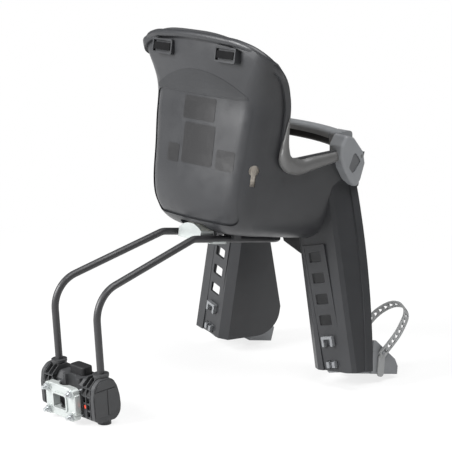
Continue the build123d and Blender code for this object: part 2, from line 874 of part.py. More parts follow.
# Mounting block
with BuildPart() as block_body:
    with BuildSketch(block_side_plane) as block_profile:
        with BuildLine():
            Polyline(*block_side, close=True)
        make_face()
        fillet(block_profile.vertices(), block_round)
    extrude(amount=block_half, both=True)
    # recess of the jaw between the cheeks
    with BuildSketch(block_plane):
        with Locations((0, jaw_face - far / 4)):
            Rectangle(2 * cheek_in, far / 2)
    extrude(amount=far / 2, mode=Mode.SUBTRACT)
    # housing of the release button
    with BuildSketch(block_plane.offset(latch_high)):
        with Locations((0, (jaw_face + button_front + wall) / 2)):
            RectangleRounded(2 * (button_half + wall), button_front + wall - jaw_face, wall)
    extrude(amount=block_side[6][1] - latch_high)
    # cells between the ribs of the cheeks
    with BuildSketch(block_rear_plane.offset(-rib_floor)):
        for across in rib_cells_x:
            for up in rib_cells_up:
                beside_flag = abs(across - flag_x) > rib_cell_wide
                below_latch = up + rib_cell_tall < latch_low
                above_latch = up > latch_high + rib_cell_tall / 2
                if beside_flag or below_latch or above_latch:
                    with Locations((across, up), (-across, up)):
                        Rectangle(rib_cell_wide, rib_cell_tall)
    extrude(amount=far / 8, mode=Mode.SUBTRACT)
    # collars and feet on the rod ends
    with BuildSketch(block_plane.offset(-wall)):
        with Locations((rod_x, 0), (-rod_x, 0)):
            Circle(foot_radius)
    extrude(amount=rod_end + wall)
    with BuildSketch(block_plane.offset(rod_end)):
        with Locations((rod_x, 0), (-rod_x, 0)):
            Circle(collar_rod_radius)
    extrude(amount=collar_rod_top - rod_end)
    with BuildSketch(block_plane.offset(collar_rod_top - wall)):
        with Locations((rod_x, 0), (-rod_x, 0)):
            Circle(collar_rod_radius + 1)
    extrude(amount=wall)
    # jaw for the liner
    with BuildSketch(block_plane.offset(liner_low - press)):
        with Locations((0, tube_back)):
            Circle(liner_radius + press)
    extrude(amount=liner_high - liner_low + 2 * press, mode=Mode.SUBTRACT)
    with BuildSketch(block_plane):
        with Locations((0, tube_back)):
            Circle(tube_radius + liner_thick / 4)
    extrude(amount=far / 4, mode=Mode.SUBTRACT)
    # bores of the rod ends
    with BuildSketch(block_plane.offset(rod_end - press)):
        with Locations((rod_x, 0), (-rod_x, 0)):
            Circle(rod_radius + press)
    extrude(amount=far / 4, mode=Mode.SUBTRACT)
    # pocket of the release button, bore of its spring, space of the latches
    with BuildSketch(block_plane.offset(button_floor)):
        with Locations((0, (button_rear + button_front) / 2)):
            RectangleRounded(
                2 * (button_half + gap), button_front - button_rear + 2 * gap, button_round + gap
            )
    extrude(amount=far / 4, mode=Mode.SUBTRACT)
    with BuildSketch(block_plane.offset(spring_low)):
        with Locations((0, spring_y)):
            Circle(spring_radius + spring_wire + 2 * gap)
    extrude(amount=button_floor - spring_low, mode=Mode.SUBTRACT)
    with BuildSketch(block_rear_plane):
        with Locations((0, (latch_low + button_floor) / 2)):
            Rectangle(2 * (prong_out + gap), button_floor - latch_low + 2 * gap)
        with Locations((0, (latch_low + latch_high) / 2)):
            Rectangle(2 * rod_x, latch_high - latch_low + 2 * gap)
    extrude(amount=latch_half + gap, both=True, mode=Mode.SUBTRACT)
    # windows of the lock flags
    with BuildSketch(block_rear_plane):
        for side in (1, -1):
            with Locations((side * (flag_x - latch_travel / 2), (latch_low + latch_high) / 2)):
                Rectangle(2 * flag_half + latch_travel + 2 * gap, flag_tall + 2 * gap)
    extrude(amount=far / 8, mode=Mode.SUBTRACT)
    # bolt holes and counterbores
    with BuildSketch(block_rear_plane):
        with Locations(*bolt_spots):
            Circle(bolt_radius + press)
    extrude(amount=far / 8, both=True, mode=Mode.SUBTRACT)
    with BuildSketch(block_rear_plane.offset(-bolt_head_at)):
        with Locations(*bolt_spots):
            Circle(bolt_head + 1)
    extrude(amount=-far / 8, mode=Mode.SUBTRACT)
    # flat soles of the two feet
    with BuildSketch(Plane.XY):
        Rectangle(3 * far, 3 * far)
    extrude(amount=-far / 8, mode=Mode.SUBTRACT)
save(block_body.part, "block_body")

# Foot cups
cup_tilt_sin, cup_tilt_cos = turned(foot_tilt)
cup_sin, cup_cos = turned(foot_pitch)
cup_across = Vector(cup_tilt_cos, 0, cup_tilt_sin)
foot_plane = Plane(
    origin=(foot_corner[0], leg_y + foot_corner[1], 0),
    x_dir=cup_across,
    z_dir=cup_across.cross(Vector(0, cup_cos, -cup_sin)),
)
foot_side_plane = Plane(origin=foot_plane.origin, x_dir=foot_plane.y_dir, z_dir=foot_plane.x_dir)
hook_root = channel_floor + gap

with BuildPart() as footrest:
    with BuildSketch(foot_plane):
        with BuildLine():
            Polyline(
                (0, 0),
                (foot_wide, foot_toe),
                (foot_wide, -foot_step),
                (foot_neck[1], -foot_step),
                (foot_neck[1], -foot_long),
                (foot_neck[0], -foot_long),
                (foot_neck[0], -foot_step),
                (0, -foot_step),
                close=True,
            )
        make_face()
    extrude(amount=foot_thick)
    for across, toe in ((0, 0), (foot_wide - foot_thick, foot_toe)):
        with BuildSketch(foot_side_plane.offset(across)):
            with BuildLine():
                Polyline((-foot_step, 0), *foot_side, (toe, foot_toe_up), (toe, 0), close=True)
            make_face()
        extrude(amount=foot_thick)
    with BuildSketch(foot_plane):
        with BuildLine():
            Polyline(
                (0, 0),
                (foot_wide, foot_toe),
                (foot_wide, foot_toe - foot_thick),
                (0, -foot_thick),
                close=True,
            )
        make_face()
    extrude(amount=foot_toe_up)
    # heel plate inside the leg guard, with its hook and clip
    with BuildSketch(panel_plane.offset(-hook_root)):
        with Locations((0, (heel_up + heel_down) / 2)):
            RectangleRounded(2 * heel_half, heel_up - heel_down, wall)
    extrude(amount=-foot_thick)
    with BuildSketch(panel_plane.offset(-hook_root)):
        with Locations((0, hole_first)):
            Rectangle(2 * hook_half, hook_tall)
        with Locations((0, hole_first - hook_wall)):
            Rectangle(2 * (hook_half - hook_wall), hook_tall, mode=Mode.SUBTRACT)
        for side in (1, -1):
            with Locations((side * (clip_half - clip_wide / 2), notch_up)):
                Rectangle(clip_wide, clip_tall)
    extrude(amount=hook_root + hook_proud)
    # rib between heel plate and floor
    with BuildSketch(foot_side_plane.offset((foot_neck[0] + foot_neck[1]) / 2)):
        with BuildLine():
            Polyline((-foot_long, 0), (-foot_step, 0), (-foot_long, heel_up / 2), close=True)
        make_face()
    extrude(amount=foot_thick)
    # pegs for the foot strap
    with BuildSketch(foot_side_plane.offset(foot_wide)):
        with Locations(peg_at):
            Circle(peg_radius)
    extrude(amount=peg_long)
    with BuildSketch(foot_side_plane):
        with Locations(peg_at):
            Circle(peg_radius)
    extrude(amount=-peg_long)
save_pair(footrest.part, "footrest")

# Foot straps
rise_sin, rise_cos = turned(strap_rise)
strap_plane = Plane(
    origin=(0, leg_y + strap_origin[0], strap_origin[1]), x_dir=(1, 0, 0), z_dir=(0, -rise_sin, rise_cos)
)
with BuildPart() as foot_strap:
    with BuildSketch(strap_plane):
        with BuildLine():
            Line(*foot_strap_in)
            ThreePointArc(foot_strap_in[1], foot_strap_crest, foot_strap_out[0])
            Line(*foot_strap_out)
        trace(line_width=foot_strap_thick)
    extrude(amount=foot_strap_wide / 2, both=True)
    with BuildSketch(foot_side_plane.offset(foot_wide + gap)):
        with Locations((peg_at[0], tab_up)):
            SlotOverall(tab_long, tab_wide, rotation=90)
    extrude(amount=foot_strap_thick)
    # peg holes and the row of adjusting slots
    with BuildSketch(foot_side_plane):
        with Locations(peg_at):
            Circle(peg_radius + gap)
    extrude(amount=far / 4, both=True, mode=Mode.SUBTRACT)
    with BuildSketch(Plane.YZ):
        for step in foot_strap_slots:
            with Locations((leg_y + strap_origin[0] + step * rise_cos, strap_origin[1] + step * rise_sin)):
                SlotOverall(2.5 * peg_radius, peg_radius, rotation=strap_rise)
    extrude(amount=far, mode=Mode.SUBTRACT)
save_pair(foot_strap.part, "foot_strap")

# Safety bar: grey upper part and ribbed underside, bowed forward
bow = bar_mid_y - bar_end_y
bow_radius = (bar_x**2 + bow**2) / (2 * bow)
bar_centre_y = leg_y + bar_mid_y - bow_radius
bow_angle = degrees(atan2(bar_x, bow_radius - bow))


def bar_section(low, high, deep, round_top):
    """Upright section of the bar, placed at its left end."""
    end_sin, end_cos = turned(bow_angle)
    place = Plane(
        origin=(-bar_x, leg_y + bar_end_y, bar_z), x_dir=(-end_sin, end_cos, 0), z_dir=(end_cos, end_sin, 0)
    )
    with BuildSketch(place) as section:
        with Locations((0, (low + high) / 2)):
            Rectangle(deep, high - low)
        ends = section.vertices().group_by(Axis.Y)[-1 if round_top else 0]
        fillet(ends, bar_round)
    return section.sketch


bar_axis = Axis((0, bar_centre_y, 0), (0, 0, -1))
with BuildPart() as safety_bar:
    revolve(bar_section(bar_split, bar_up, bar_deep, True), axis=bar_axis, revolution_arc=2 * bow_angle)
save(safety_bar.part, "safety_bar")

with BuildPart() as safety_bar_underside:
    revolve(
        bar_section(bar_down, bar_split, bar_deep - bar_rib_deep, False),
        axis=bar_axis,
        revolution_arc=2 * bow_angle,
    )
    with BuildSketch(Plane.XZ.offset(-leg_y - bar_end_y - bow)):
        with GridLocations(bar_rib_pitch, 1, int(2 * bar_x / bar_rib_pitch) - 1, 1):
            with Locations((0, bar_z + bar_down)):
                Rectangle(bar_rib_wide, 2 * bar_rib_deep)
    extrude(amount=bar_deep + bow, both=True, mode=Mode.SUBTRACT)
save(safety_bar_underside.part, "safety_bar_underside")

# Brackets that join the bar to the armrests
with BuildPart() as bar_bracket:
    with BuildSketch(Plane.YZ.offset(bracket_x[0])) as bracket_profile:
        with BuildLine():
            Polyline(*[(leg_y + y, z) for y, z in bracket_side], close=True)
        make_face()
        fillet(bracket_profile.vertices(), bracket_round)
    extrude(amount=bracket_x[1] - bracket_x[0])
    fillet(bar_bracket.faces().sort_by(Axis.X)[-1].edges(), bracket_edge)
    with BuildSketch(Plane.YZ.offset(bar_x)):
        with Locations((leg_y + bar_end_y - 1, bar_z + (bar_up + bar_down) / 2)):
            RectangleRounded(bar_deep + 2, bar_up - bar_down + 2, bar_round)
    extrude(amount=bracket_x[0] - bar_x + wall)
    add(safety_bar.part, mode=Mode.SUBTRACT)
    add(safety_bar_underside.part, mode=Mode.SUBTRACT)
    add(seat_shell.part, mode=Mode.SUBTRACT)
    with BuildSketch(Plane.YZ.offset(bracket_x[1] - bar_button_deep)) as pocket:
        with BuildLine():
            Polyline(*[(leg_y + y, z) for y, z in bar_button_side], close=True)
        make_face()
        fillet(pocket.vertices(), bar_button_round)
    extrude(amount=far, mode=Mode.SUBTRACT)
save_pair(bar_bracket.part, "bar_bracket")

with BuildPart() as bar_button:
    with BuildSketch(Plane.YZ.offset(bracket_x[1] - bar_button_thick)) as cap:
        with BuildLine():
            Polyline(*[(leg_y + y, z) for y, z in bar_button_side], close=True)
        make_face()
        fillet(cap.vertices(), bar_button_round)
        offset(amount=-gap, mode=Mode.REPLACE)
    extrude(amount=bar_button_thick - bar_button_sunk)
save_pair(bar_button.part, "bar_button")

# Harness: shoulder straps from the collars down the back to the buckle on the pan
pad_up = pan_low + wall + pad_thick
slant_sin, slant_cos = turned(strap_lean)
strap_lie = pad_up + gap + webbing_thick / 2 + webbing_wide / 2 * slant_sin
strap_end_x = collar_x - (collar_up - strap_lie) * slant_sin / slant_cos
webbing_plane = Plane(
    origin=seat_plane.from_local_coords((collar_x, 0, collar_up)),
    x_dir=side_plane.x_dir,
    z_dir=Vector(slant_cos, -slant_sin * tilt_sin, -slant_sin * tilt_cos),
)
strap_drop = (strap_lie - collar_up) / slant_cos
with BuildPart() as shoulder_strap:
    with BuildSketch(webbing_plane):
        with BuildLine():
            FilletPolyline(
                (anchor_thick - back_reach - collar_out, 0),
                (strap_face, 0),
                (strap_face, (strap_bend_up - collar_up) / slant_cos),
                (strap_flat[0], strap_drop),
                (strap_flat[1], strap_drop),
                radius=webbing_wide / 2,
            )
        trace(line_width=webbing_thick)
    extrude(amount=webbing_wide / 2, both=True)
    with BuildSketch(seat_plane.offset(strap_lie - webbing_thick / 2)):
        with BuildLine():
            Line((strap_end_x, strap_flat[1] - webbing_wide / 2), (buckle_wide / 2 - buckle_round, buckle_y))
        trace(line_width=webbing_wide)
    extrude(amount=webbing_thick)
save_pair(shoulder_strap.part, "shoulder_strap")

with BuildPart() as strap_anchor:
    with BuildSketch(rear_plane.offset(back_reach + collar_out - anchor_thick)):
        with Locations((collar_x, collar_up)):
            RectangleRounded(anchor_long, anchor_tall, 2)
    extrude(amount=anchor_thick)
save_pair(strap_anchor.part, "strap_anchor")

crotch_up = pad_up + buckle_tall / 2
buckle_edge = buckle_y + buckle_long / 2
with BuildPart() as crotch_strap:
    with BuildSketch(side_plane):
        with BuildLine():
            FilletPolyline(
                (crotch_y, pan_low - webbing_thick),
                (crotch_y, crotch_up),
                (buckle_edge - buckle_round, crotch_up),
                radius=crotch_bend,
            )
        trace(line_width=webbing_thick)
    extrude(amount=webbing_wide / 2, both=True)
    with BuildSketch(seat_plane.offset(pan_low)):
        with Locations((0, crotch_y)):
            RectangleRounded(anchor_long, anchor_tall, 2)
    extrude(amount=-webbing_thick)
save(crotch_strap.part, "crotch_strap")

with BuildPart() as buckle_body:
    with BuildSketch(seat_plane.offset(pad_up)):
        with Locations((0, buckle_y)):
            RectangleRounded(buckle_wide, buckle_long, 2 * buckle_round)
    extrude(amount=buckle_tall)
    fillet(buckle_body.faces().sort_by(Axis.Z)[-1].edges(), buckle_round / 2)
    with BuildSketch(seat_plane.offset(pad_up + buckle_tall)):
        with Locations((0, buckle_y)):
            RectangleRounded(buckle_button_wide + 2 * gap, buckle_button_long + 2 * gap, buckle_round)
    extrude(amount=buckle_button_proud - buckle_button_tall - buckle_travel - gap, mode=Mode.SUBTRACT)
    for strap in (shoulder_strap.part, mirrored(shoulder_strap.part), crotch_strap.part):
        add(strap, mode=Mode.SUBTRACT)
save(buckle_body.part, "buckle_body")

with BuildPart() as buckle_button:
    with BuildSketch(seat_plane.offset(pad_up + buckle_tall + buckle_button_proud)):
        with Locations((0, buckle_y)):
            RectangleRounded(buckle_button_wide, buckle_button_long, buckle_round - gap)
    extrude(amount=-buckle_button_tall)
save(buckle_button.part, "buckle_button")

# Soft pad on back and pan
with BuildPart() as seat_pad:
    add(inner_space)
    with BuildSketch(side_plane):
        with BuildLine():
            Polyline((-far, 0), (-far, pad_top), (pad_front, pad_top), (pad_front, 0), close=True)
        make_face()
    extrude(amount=far, both=True, mode=Mode.INTERSECT)
    for side in (1, -1):
        with BuildSketch(seat_plane):
            with Locations((side * (pad_half + far / 2), pad_wing + far / 2)):
                Rectangle(far, far)
        extrude(amount=2 * far, mode=Mode.SUBTRACT)
    add(rim_body(2 * lip_wide), mode=Mode.INTERSECT)
    add(bucket(-wall - pad_thick, leg_depth), mode=Mode.SUBTRACT)
    with BuildSketch(seat_plane):
        with Locations((0, crotch_y)):
            Rectangle(*crotch_slot)
    extrude(amount=pan_low + 2 * pad_thick, mode=Mode.SUBTRACT)
    extrude(arch_outline(), amount=-arch_deep - wall, mode=Mode.SUBTRACT)
save(seat_pad.part, "seat_pad")
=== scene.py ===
import json
import math

import bmesh
import bpy
from mathutils import Matrix, Vector
from mathutils.bvhtree import BVHTree


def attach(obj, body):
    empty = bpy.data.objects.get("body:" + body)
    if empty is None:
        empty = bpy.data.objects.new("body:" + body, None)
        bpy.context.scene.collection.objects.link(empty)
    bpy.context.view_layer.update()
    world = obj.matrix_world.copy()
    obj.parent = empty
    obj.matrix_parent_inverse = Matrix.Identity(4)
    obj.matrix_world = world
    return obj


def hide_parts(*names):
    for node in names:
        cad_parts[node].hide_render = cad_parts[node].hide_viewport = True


# Child bike seat, seen from behind and from its right side.
# Metres; +Z up, +Y the way the child faces, X = 0 the mirror plane.

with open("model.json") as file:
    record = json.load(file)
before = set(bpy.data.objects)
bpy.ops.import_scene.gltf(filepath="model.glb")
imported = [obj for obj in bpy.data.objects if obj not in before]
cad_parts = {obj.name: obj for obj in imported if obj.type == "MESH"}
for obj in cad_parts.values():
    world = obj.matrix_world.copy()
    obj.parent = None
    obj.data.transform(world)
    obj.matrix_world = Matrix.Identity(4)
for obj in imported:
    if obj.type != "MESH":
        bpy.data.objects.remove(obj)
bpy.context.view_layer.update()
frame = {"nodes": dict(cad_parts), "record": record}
nodes = frame["nodes"]
scene = bpy.context.scene

# The seat's own frame, pitched nose-down about the leg guards' rear faces
leg_rear = 0.14343
pitch = math.radians(8.4)
seat_frame = Matrix.Translation((0, leg_rear, 0)) @ Matrix.Rotation(-pitch, 4, "X")


# Camera and stage

camera_at = Vector((2.3336, -1.99037, 0.9539))
camera_turn = math.radians(48.85)
camera_dip = math.radians(12.491)
camera_lens = 150.05  # millimetres, as is the sensor's width
camera_sensor = 36
camera_reach = 100
world_strength = 0.12
lamp_size = (1.6, 1.6)
key_at = (-1.0, -2.8, 1.85)
key_target = (0, -0.05, 0.45)
key_power = 205
top_at = (0.7, 0.1, 2.4)
top_target = (0, 0, 0.35)
top_power = 60


def add_camera():
    """The camera of the photograph, solved from the seat's own lines."""
    data = bpy.data.cameras.new("camera")
    data.lens = camera_lens
    data.sensor_width = camera_sensor
    data.clip_end = camera_reach
    camera = bpy.data.objects.new("camera", data)
    scene.collection.objects.link(camera)
    forward = Vector(
        (
            -math.sin(camera_turn) * math.cos(camera_dip),
            math.cos(camera_turn) * math.cos(camera_dip),
            -math.sin(camera_dip),
        )
    )
    camera.location = camera_at
    camera.rotation_euler = forward.to_track_quat("-Z", "Y").to_euler()
    scene.camera = camera


def add_softbox(name, at, target, size, power):
    """A rectangular lamp that looks at a point."""
    data = bpy.data.lights.new(name, "AREA")
    data.shape = "RECTANGLE"
    data.size, data.size_y = size
    data.energy = power
    lamp = bpy.data.objects.new(name, data)
    scene.collection.objects.link(lamp)
    lamp.location = at
    lamp.rotation_euler = (Vector(target) - Vector(at)).to_track_quat("-Z", "Y").to_euler()


def add_world(strength):
    """Even white light from all round."""
    world = bpy.data.worlds.new("studio")
    world.use_nodes = True
    background = world.node_tree.nodes["Background"]
    background.inputs["Color"].default_value = plain_white
    background.inputs["Strength"].default_value = strength
    scene.world = world


floor_half = 12.0
floor_fade = (0.45, 1.3)  # distances over which the floor turns to plain white
floor_white_near = 0.8  # share of plain white under the seat
floor_pale = (0.93, 0.93, 0.93, 1)
plain_white = (1, 1, 1, 1)


def floor_material():
    """Pale floor that keeps a light shadow close by and is plain white further off."""
    material = bpy.data.materials.new("floor_white")
    material.use_nodes = True
    tree = material.node_tree
    add = tree.nodes.new
    link = tree.links.new
    tree.nodes.remove(tree.nodes["Principled BSDF"])
    place = add("ShaderNodeTexCoord")
    distance = add("ShaderNodeVectorMath")
    distance.operation = "LENGTH"
    fade = add("ShaderNodeMapRange")
    fade.interpolation_type = "SMOOTHSTEP"
    fade.inputs["From Min"].default_value = floor_fade[0]
    fade.inputs["From Max"].default_value = floor_fade[1]
    fade.inputs["To Min"].default_value = floor_white_near
    rays = add("ShaderNodeLightPath")
    seen = add("ShaderNodeMath")
    seen.operation = "MAXIMUM"
    seen_through = add("ShaderNodeMath")
    seen_through.operation = "MAXIMUM"
    share = add("ShaderNodeMath")
    share.operation = "MULTIPLY"
    pale = add("ShaderNodeBsdfDiffuse")
    pale.inputs["Color"].default_value = floor_pale
    white = add("ShaderNodeEmission")
    white.inputs["Color"].default_value = plain_white
    mix = add("ShaderNodeMixShader")
    link(place.outputs["Object"], distance.inputs[0])
    link(distance.outputs["Value"], fade.inputs["Value"])
    link(rays.outputs["Is Camera Ray"], seen.inputs[0])
    link(rays.outputs["Is Glossy Ray"], seen.inputs[1])
    link(seen.outputs["Value"], seen_through.inputs[0])
    link(rays.outputs["Is Transmission Ray"], seen_through.inputs[1])
    link(seen_through.outputs["Value"], share.inputs[0])
    link(fade.outputs["Result"], share.inputs[1])
    link(share.outputs["Value"], mix.inputs["Fac"])
    link(pale.outputs["BSDF"], mix.inputs[1])
    link(white.outputs["Emission"], mix.inputs[2])
    link(mix.outputs["Shader"], tree.nodes["Material Output"].inputs["Surface"])
    return material


def add_floor():
    """A floor that reaches far past the picture."""
    shape = bmesh.new()
    bmesh.ops.create_grid(shape, x_segments=1, y_segments=1, size=floor_half)
    floor = piece("floor", shape, floor_material())


# Shared ways to make a shape

def piece(name, shape, material):
    """A new object from a bmesh, with its place in its mesh."""
    mesh = bpy.data.meshes.new(name)
    shape.to_mesh(mesh)
    shape.free()
    mesh.materials.append(material)
    made = bpy.data.objects.new(name, mesh)
    scene.collection.objects.link(made)
    return made


def bevel(shape, geom, offset, segments, affect="EDGES"):
    """Round edges or corners, and return what that made."""
    return bmesh.ops.bevel(
        shape,
        geom=geom,
        offset=offset,
        segments=segments,
        profile=0.5,
        affect=affect,
        material=-1,
    )


def pull(shape, corners, way):
    """A flat face through corners, pulled out into a solid; returns its far corners."""
    face = shape.faces.new([shape.verts.new(corner) for corner in corners])
    grown = bmesh.ops.extrude_face_region(shape, geom=[face])["geom"]
    far = [item for item in grown if isinstance(item, bmesh.types.BMVert)]
    bmesh.ops.translate(shape, verts=far, vec=way)
    return far


def smooth_path(name, knots):
    """A smooth curve through knots, each a place and a share of the curve's radius."""
    data = bpy.data.curves.new(name, "CURVE")
    data.dimensions = "3D"
    spline = data.splines.new("BEZIER")
    spline.bezier_points.add(len(knots) - 1)
    for knot, (place, share) in zip(spline.bezier_points, knots):
        knot.co = place
        knot.radius = share
        knot.handle_left_type = knot.handle_right_type = "AUTO"
    path = bpy.data.objects.new(name, data)
    scene.collection.objects.link(path)
    return path


def finished_mesh(made):
    """A new mesh of an object with its modifiers or its curve's thickness applied."""
    return bpy.data.meshes.new_from_object(made.evaluated_get(bpy.context.evaluated_depsgraph_get()))


# Shared surface effects

noise_spread = (0.3, 0.7)  # the stretch of a noise's values that is drawn out to the full range
grain_detail = 3
patch_detail = 5
patch_rough = 0.6
scratch_scale = 55
scratch_detail = 6
thread_wobble = 0.6
thread_detail = 1
squares_per_thread = 6.3
cloth_tone_scale = 40
cloth_tone_detail = 4


def new_group(name, inputs, outputs):
    """An empty shader node group with its sockets, and its two end nodes."""
    tree = bpy.data.node_groups.new(name, "ShaderNodeTree")
    for label, kind, value in inputs:
        socket = tree.interface.new_socket(label, in_out="INPUT", socket_type=kind)
        if value is not None:
            socket.default_value = value
    for label in outputs:
        tree.interface.new_socket(label, in_out="OUTPUT", socket_type="NodeSocketFloat")
    return tree, tree.nodes.new("NodeGroupInput"), tree.nodes.new("NodeGroupOutput")


def grain_group():
    """Fine moulded grain, slow changes of tone and patches of gloss."""
    inputs = (
        ("Vector", "NodeSocketVector", None),
        ("Grain Scale", "NodeSocketFloat", 900.0),
        ("Patch Scale", "NodeSocketFloat", 9.0),
    )
    tree, start, end = new_group("moulded_grain", inputs, ("Height", "Tone", "Gloss"))
    link = tree.links.new
    grain = tree.nodes.new("ShaderNodeTexNoise")
    grain.inputs["Detail"].default_value = grain_detail
    patches = tree.nodes.new("ShaderNodeTexNoise")
    patches.inputs["Detail"].default_value = patch_detail
    patches.inputs["Roughness"].default_value = patch_rough
    scratches = tree.nodes.new("ShaderNodeTexNoise")
    scratches.inputs["Scale"].default_value = scratch_scale
    scratches.inputs["Detail"].default_value = scratch_detail
    spread = tree.nodes.new("ShaderNodeMapRange")
    gloss = tree.nodes.new("ShaderNodeMapRange")
    for drawn in (spread, gloss):
        drawn.inputs["From Min"].default_value = noise_spread[0]
        drawn.inputs["From Max"].default_value = noise_spread[1]
    gloss.inputs["To Min"].default_value = -1.0
    link(start.outputs["Vector"], grain.inputs["Vector"])
    link(start.outputs["Grain Scale"], grain.inputs["Scale"])
    link(start.outputs["Vector"], patches.inputs["Vector"])
    link(start.outputs["Patch Scale"], patches.inputs["Scale"])
    link(start.outputs["Vector"], scratches.inputs["Vector"])
    link(patches.outputs["Fac"], spread.inputs["Value"])
    link(scratches.outputs["Fac"], gloss.inputs["Value"])
    link(grain.outputs["Fac"], end.inputs["Height"])
    link(spread.outputs["Result"], end.inputs["Tone"])
    link(gloss.outputs["Result"], end.inputs["Gloss"])
    return tree


def weave_group():
    """Over-and-under threads on a flat pattern."""
    inputs = (("Vector", "NodeSocketVector", None), ("Threads", "NodeSocketFloat", 600.0))
    tree, start, end = new_group("woven_threads", inputs, ("Height", "Tone"))
    link = tree.links.new
    waves = []
    for direction in ("X", "Y"):
        wave = tree.nodes.new("ShaderNodeTexWave")
        wave.bands_direction = direction
        wave.inputs["Distortion"].default_value = thread_wobble
        wave.inputs["Detail"].default_value = thread_detail
        link(start.outputs["Vector"], wave.inputs["Vector"])
        link(start.outputs["Threads"], wave.inputs["Scale"])
        waves.append(wave)
    squares = tree.nodes.new("ShaderNodeTexChecker")
    finer = tree.nodes.new("ShaderNodeMath")
    finer.operation = "MULTIPLY"
    finer.inputs[1].default_value = squares_per_thread
    blend = tree.nodes.new("ShaderNodeMix")
    tone = tree.nodes.new("ShaderNodeTexNoise")
    tone.inputs["Scale"].default_value = cloth_tone_scale
    tone.inputs["Detail"].default_value = cloth_tone_detail
    link(start.outputs["Vector"], squares.inputs["Vector"])
    link(start.outputs["Threads"], finer.inputs[0])
    link(finer.outputs["Value"], squares.inputs["Scale"])
    link(squares.outputs["Fac"], blend.inputs["Factor"])
    link(waves[0].outputs["Fac"], blend.inputs[2])
    link(waves[1].outputs["Fac"], blend.inputs[3])
    link(start.outputs["Vector"], tone.inputs["Vector"])
    link(blend.outputs[0], end.inputs["Height"])
    link(tone.outputs["Fac"], end.inputs["Tone"])
    return tree


moulded_grain = grain_group()
woven_threads = weave_group()


# Materials

cloth_swing = 0.18
thread_bump = 0.8
cloth_sheen = 0.25
cloth_sheen_rough = 0.5


def new_material(name):
    """A new material with its node tree and its main shader."""
    material = bpy.data.materials.new(name)
    material.use_nodes = True
    return material, material.node_tree, material.node_tree.nodes["Principled BSDF"]


def shade(colour, share):
    """A colour made darker or lighter."""
    return (colour[0] * share, colour[1] * share, colour[2] * share, 1)


def tone_ramp(tree, source, colour, swing):
    """Colour that drifts a little darker and lighter over the surface."""
    ramp = tree.nodes.new("ShaderNodeValToRGB")
    ramp.color_ramp.elements[0].color = shade(colour, 1 - swing)
    ramp.color_ramp.elements[1].color = shade(colour, 1 + swing)
    tree.links.new(source, ramp.inputs["Fac"])
    return ramp.outputs["Color"]


def moulded(
    name,
    colour,
    rough,
    grain_scale,
    grain_height,
    swing=0.12,
    gloss_swing=0.06,
    metal=0.0,
    level=0.5,
):
    """Moulded, cast or coated surface: drifting tone, patchy gloss and a fine grain."""
    material, tree, shader = new_material(name)
    link = tree.links.new
    place = tree.nodes.new("ShaderNodeTexCoord")
    effect = tree.nodes.new("ShaderNodeGroup")
    effect.node_tree = moulded_grain
    effect.inputs["Grain Scale"].default_value = grain_scale
    link(place.outputs["Object"], effect.inputs["Vector"])
    link(tone_ramp(tree, effect.outputs["Tone"], colour, swing), shader.inputs["Base Color"])
    gloss = tree.nodes.new("ShaderNodeMath")
    gloss.operation = "MULTIPLY_ADD"
    gloss.inputs[1].default_value = gloss_swing
    gloss.inputs[2].default_value = rough
    link(effect.outputs["Gloss"], gloss.inputs[0])
    link(gloss.outputs["Value"], shader.inputs["Roughness"])
    bump = tree.nodes.new("ShaderNodeBump")
    bump.inputs["Strength"].default_value = 1.0
    bump.inputs["Distance"].default_value = grain_height
    link(effect.outputs["Height"], bump.inputs["Height"])
    link(bump.outputs["Normal"], shader.inputs["Normal"])
    shader.inputs["Metallic"].default_value = metal
    shader.inputs["Specular IOR Level"].default_value = level
    return material


def woven(name, colour, threads, thread_height, coords, turn=0.0, rough=0.85):
    """Woven cloth, its threads laid on object or UV coordinates."""
    material, tree, shader = new_material(name)
    link = tree.links.new
    place = tree.nodes.new("ShaderNodeTexCoord")
    lay = tree.nodes.new("ShaderNodeMapping")
    lay.inputs["Rotation"].default_value = (0, 0, turn)
    effect = tree.nodes.new("ShaderNodeGroup")
    effect.node_tree = woven_threads
    effect.inputs["Threads"].default_value = threads
    link(place.outputs[coords], lay.inputs["Vector"])
    link(lay.outputs["Vector"], effect.inputs["Vector"])
    link(tone_ramp(tree, effect.outputs["Tone"], colour, cloth_swing), shader.inputs["Base Color"])
    bump = tree.nodes.new("ShaderNodeBump")
    bump.inputs["Strength"].default_value = thread_bump
    bump.inputs["Distance"].default_value = thread_height
    link(effect.outputs["Height"], bump.inputs["Height"])
    link(bump.outputs["Normal"], shader.inputs["Normal"])
    shader.inputs["Roughness"].default_value = rough
    shader.inputs["Sheen Weight"].default_value = cloth_sheen
    shader.inputs["Sheen Roughness"].default_value = cloth_sheen_rough
    return material


